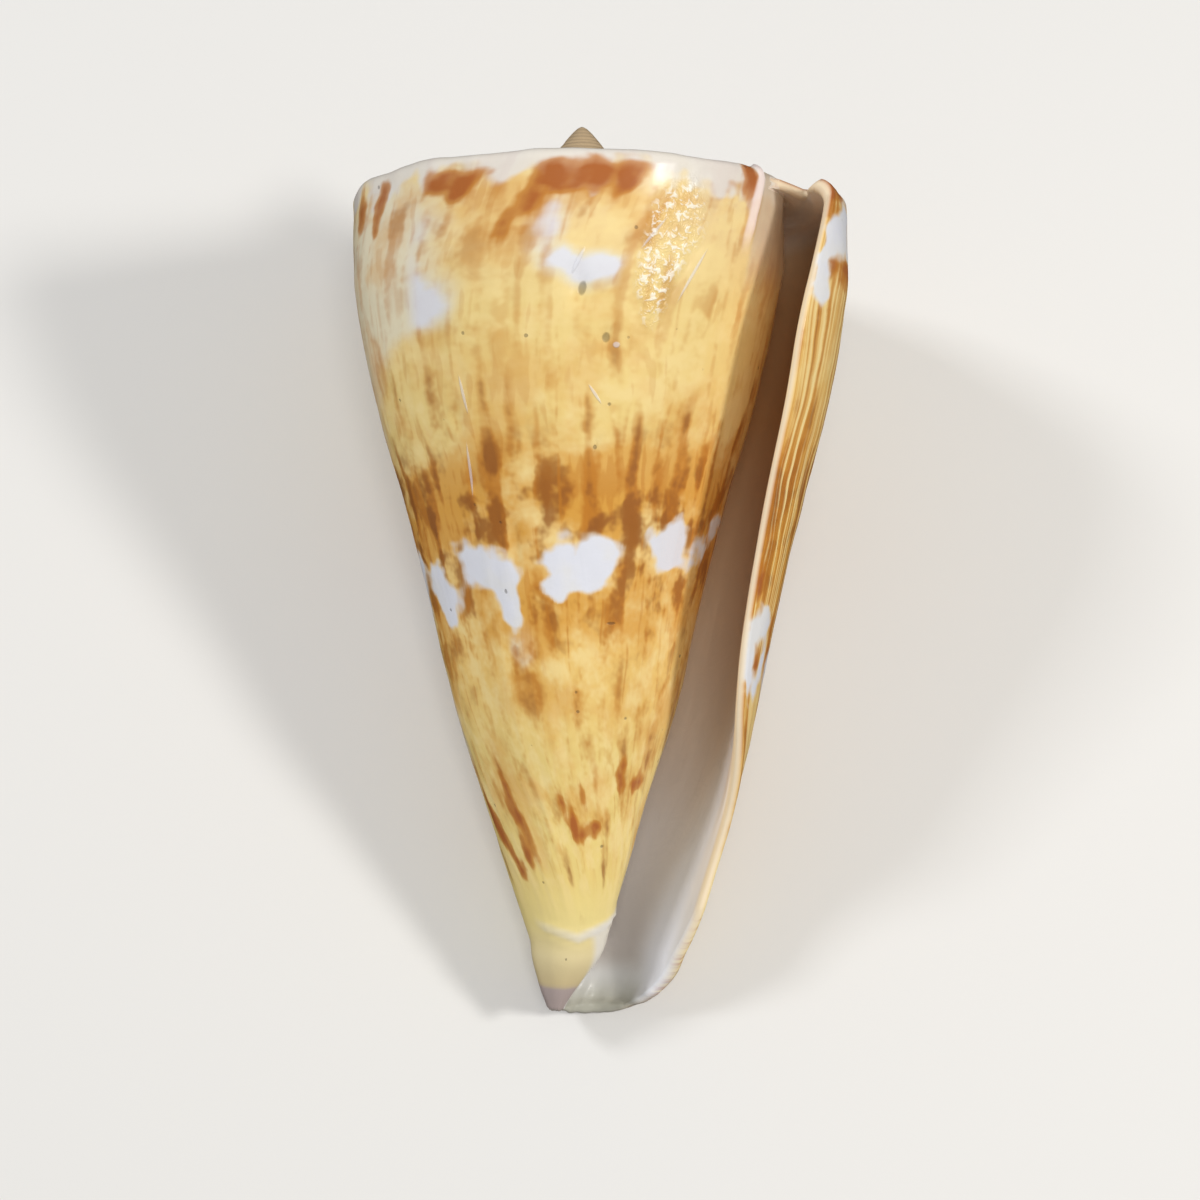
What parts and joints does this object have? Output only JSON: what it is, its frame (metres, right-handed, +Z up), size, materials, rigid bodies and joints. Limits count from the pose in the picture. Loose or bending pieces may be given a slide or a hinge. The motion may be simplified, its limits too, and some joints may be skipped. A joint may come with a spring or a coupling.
{
  "type": "cone shell",
  "caption": "Empty cone shell lying on its back: a long tapering coil with a low pointed spire, a sharp shoulder and a narrow slot-like aperture behind a thin lip.",
  "frame": {"origin": "centre of the box the shell fills, at the level of the surface it lies on", "axes": "+Y along the shell from its narrow base to its spire, +Z up out of the aperture, +X towards the lip"},
  "size_m": [0.049, 0.0858, 0.0468],
  "materials": {
    "shell": "gloss"
  },
  "bodies": {
    "root": {"cone_shell": "shell"}
  },
  "joints": []
}
